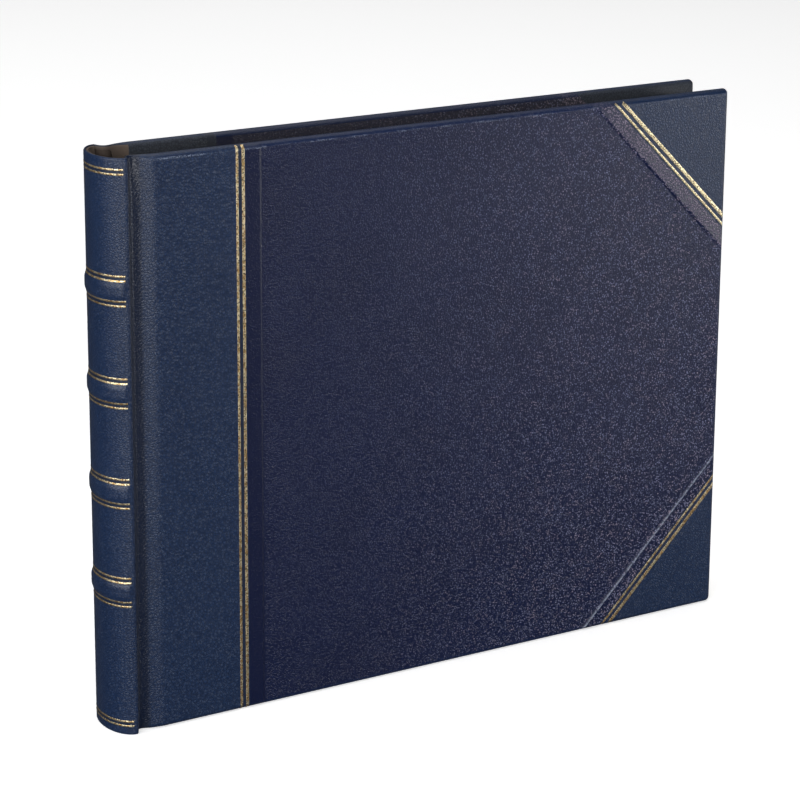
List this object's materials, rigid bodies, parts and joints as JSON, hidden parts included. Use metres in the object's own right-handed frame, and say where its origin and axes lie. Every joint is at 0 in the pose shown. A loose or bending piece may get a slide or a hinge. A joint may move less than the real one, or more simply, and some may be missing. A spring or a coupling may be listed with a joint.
{
  "type": "pilot logbook",
  "caption": "Landscape hardcover flight logbook, half bound: leather spine with raised bands and leather corners, cloth sides, sewn leaves that fan as the covers open.",
  "frame": {"origin": "centre of the footprint, on the surface that the tail edges stand on", "axes": "+X from spine to fore edge, +Y from front cover to back cover, +Z from tail to head"},
  "size_m": [0.2558, 0.0274, 0.203],
  "materials": {
    "leather": "pebble-grained navy leather, satin",
    "side_cloth": "dark navy side cloth with fine pale flecks",
    "board": "grey binder's board",
    "card": "taupe card",
    "endpaper": "plain buff endpaper",
    "page": "ruled cream ledger paper",
    "muslin": "starched open-weave mull and woven tape",
    "kraft": "brown kraft lining",
    "thread": "waxed linen thread",
    "silk": "blue and white striped silk headband"
  },
  "bodies": {
    "text_block": {"spine_leather": "leather", "spine_inlay": "card", "raised_band_1": "card", "raised_band_2": "card", "raised_band_3": "card", "raised_band_4": "card", "sewing_tape_1": "muslin", "sewing_tape_2": "muslin", "sewing_tape_3": "muslin", "mull_spine": "muslin", "back_lining": "kraft", "headband": "silk", "tailband": "silk", "kettle_stitch_head": "thread", "kettle_stitch_tail": "thread"},
    "front_cover": {"front_board": "board", "front_quarter_leather": "leather", "front_side_sheet": "side_cloth", "front_corner_head": "leather", "front_corner_tail": "leather", "front_mull_flap": "muslin", "front_pastedown": "endpaper"},
    "back_cover": {"back_board": "board", "back_quarter_leather": "leather", "back_side_sheet": "side_cloth", "back_corner_head": "leather", "back_corner_tail": "leather", "back_mull_flap": "muslin", "back_pastedown": "endpaper"},
    "front_flyleaf": {"front_flyleaf": "endpaper"},
    "back_flyleaf": {"back_flyleaf": "endpaper"},
    "section_01": {"section_01": "page"},
    "section_02": {"section_02": "page"},
    "section_03": {"section_03": "page"},
    "section_04": {"section_04": "page"},
    "section_05": {"section_05": "page"},
    "section_06": {"section_06": "page"},
    "section_07": {"section_07": "page"},
    "section_08": {"section_08": "page"},
    "section_09": {"section_09": "page"},
    "section_10": {"section_10": "page"}
  },
  "joints": [
    {"name": "front_cover_open", "type": "hinge", "parent": "text_block", "child": "front_cover", "pos_m": [-0.1169, -0.0134, 0.1015], "axis": [0, 0, -1], "range_deg": [0, 180]},
    {"name": "front_flyleaf_turn", "type": "hinge", "parent": "text_block", "child": "front_flyleaf", "pos_m": [-0.115, -0.00777, 0.1015], "axis": [0, 0, -1], "range_deg": [0, 49]},
    {"name": "back_cover_open", "type": "hinge", "parent": "text_block", "child": "back_cover", "pos_m": [-0.1169, 0.0134, 0.1015], "axis": [0, 0, 1], "range_deg": [0, 180]},
    {"name": "back_flyleaf_turn", "type": "hinge", "parent": "text_block", "child": "back_flyleaf", "pos_m": [-0.115, 0.00777, 0.1015], "axis": [0, 0, 1], "range_deg": [0, 49]},
    {"name": "section_01_turn", "type": "hinge", "parent": "text_block", "child": "section_01", "pos_m": [-0.1144, -0.00662, 0.1015], "axis": [0, 0, -1], "range_deg": [0, 41]},
    {"name": "section_02_turn", "type": "hinge", "parent": "text_block", "child": "section_02", "pos_m": [-0.1144, -0.00515, 0.1015], "axis": [0, 0, -1], "range_deg": [0, 33]},
    {"name": "section_03_turn", "type": "hinge", "parent": "text_block", "child": "section_03", "pos_m": [-0.1144, -0.00367, 0.1015], "axis": [0, 0, -1], "range_deg": [0, 25]},
    {"name": "section_04_turn", "type": "hinge", "parent": "text_block", "child": "section_04", "pos_m": [-0.1144, -0.0022, 0.1015], "axis": [0, 0, -1], "range_deg": [0, 17]},
    {"name": "section_05_turn", "type": "hinge", "parent": "text_block", "child": "section_05", "pos_m": [-0.1144, -0.00073, 0.1015], "axis": [0, 0, -1], "range_deg": [0, 9]},
    {"name": "section_06_turn", "type": "hinge", "parent": "text_block", "child": "section_06", "pos_m": [-0.1144, 0.00073, 0.1015], "axis": [0, 0, 1], "range_deg": [0, 9]},
    {"name": "section_07_turn", "type": "hinge", "parent": "text_block", "child": "section_07", "pos_m": [-0.1144, 0.0022, 0.1015], "axis": [0, 0, 1], "range_deg": [0, 17]},
    {"name": "section_08_turn", "type": "hinge", "parent": "text_block", "child": "section_08", "pos_m": [-0.1144, 0.00367, 0.1015], "axis": [0, 0, 1], "range_deg": [0, 25]},
    {"name": "section_09_turn", "type": "hinge", "parent": "text_block", "child": "section_09", "pos_m": [-0.1144, 0.00515, 0.1015], "axis": [0, 0, 1], "range_deg": [0, 33]},
    {"name": "section_10_turn", "type": "hinge", "parent": "text_block", "child": "section_10", "pos_m": [-0.1144, 0.00662, 0.1015], "axis": [0, 0, 1], "range_deg": [0, 41]}
  ],
  "couplings": [
    {"joint": "front_flyleaf_turn", "follows": "front_cover_open", "ratio": 0.27},
    {"joint": "back_flyleaf_turn", "follows": "back_cover_open", "ratio": 0.27},
    {"joint": "section_01_turn", "follows": "front_cover_open", "ratio": 0.225},
    {"joint": "section_02_turn", "follows": "front_cover_open", "ratio": 0.18},
    {"joint": "section_03_turn", "follows": "front_cover_open", "ratio": 0.135},
    {"joint": "section_04_turn", "follows": "front_cover_open", "ratio": 0.09},
    {"joint": "section_05_turn", "follows": "front_cover_open", "ratio": 0.045},
    {"joint": "section_06_turn", "follows": "back_cover_open", "ratio": 0.045},
    {"joint": "section_07_turn", "follows": "back_cover_open", "ratio": 0.09},
    {"joint": "section_08_turn", "follows": "back_cover_open", "ratio": 0.135},
    {"joint": "section_09_turn", "follows": "back_cover_open", "ratio": 0.18},
    {"joint": "section_10_turn", "follows": "back_cover_open", "ratio": 0.225}
  ]
}
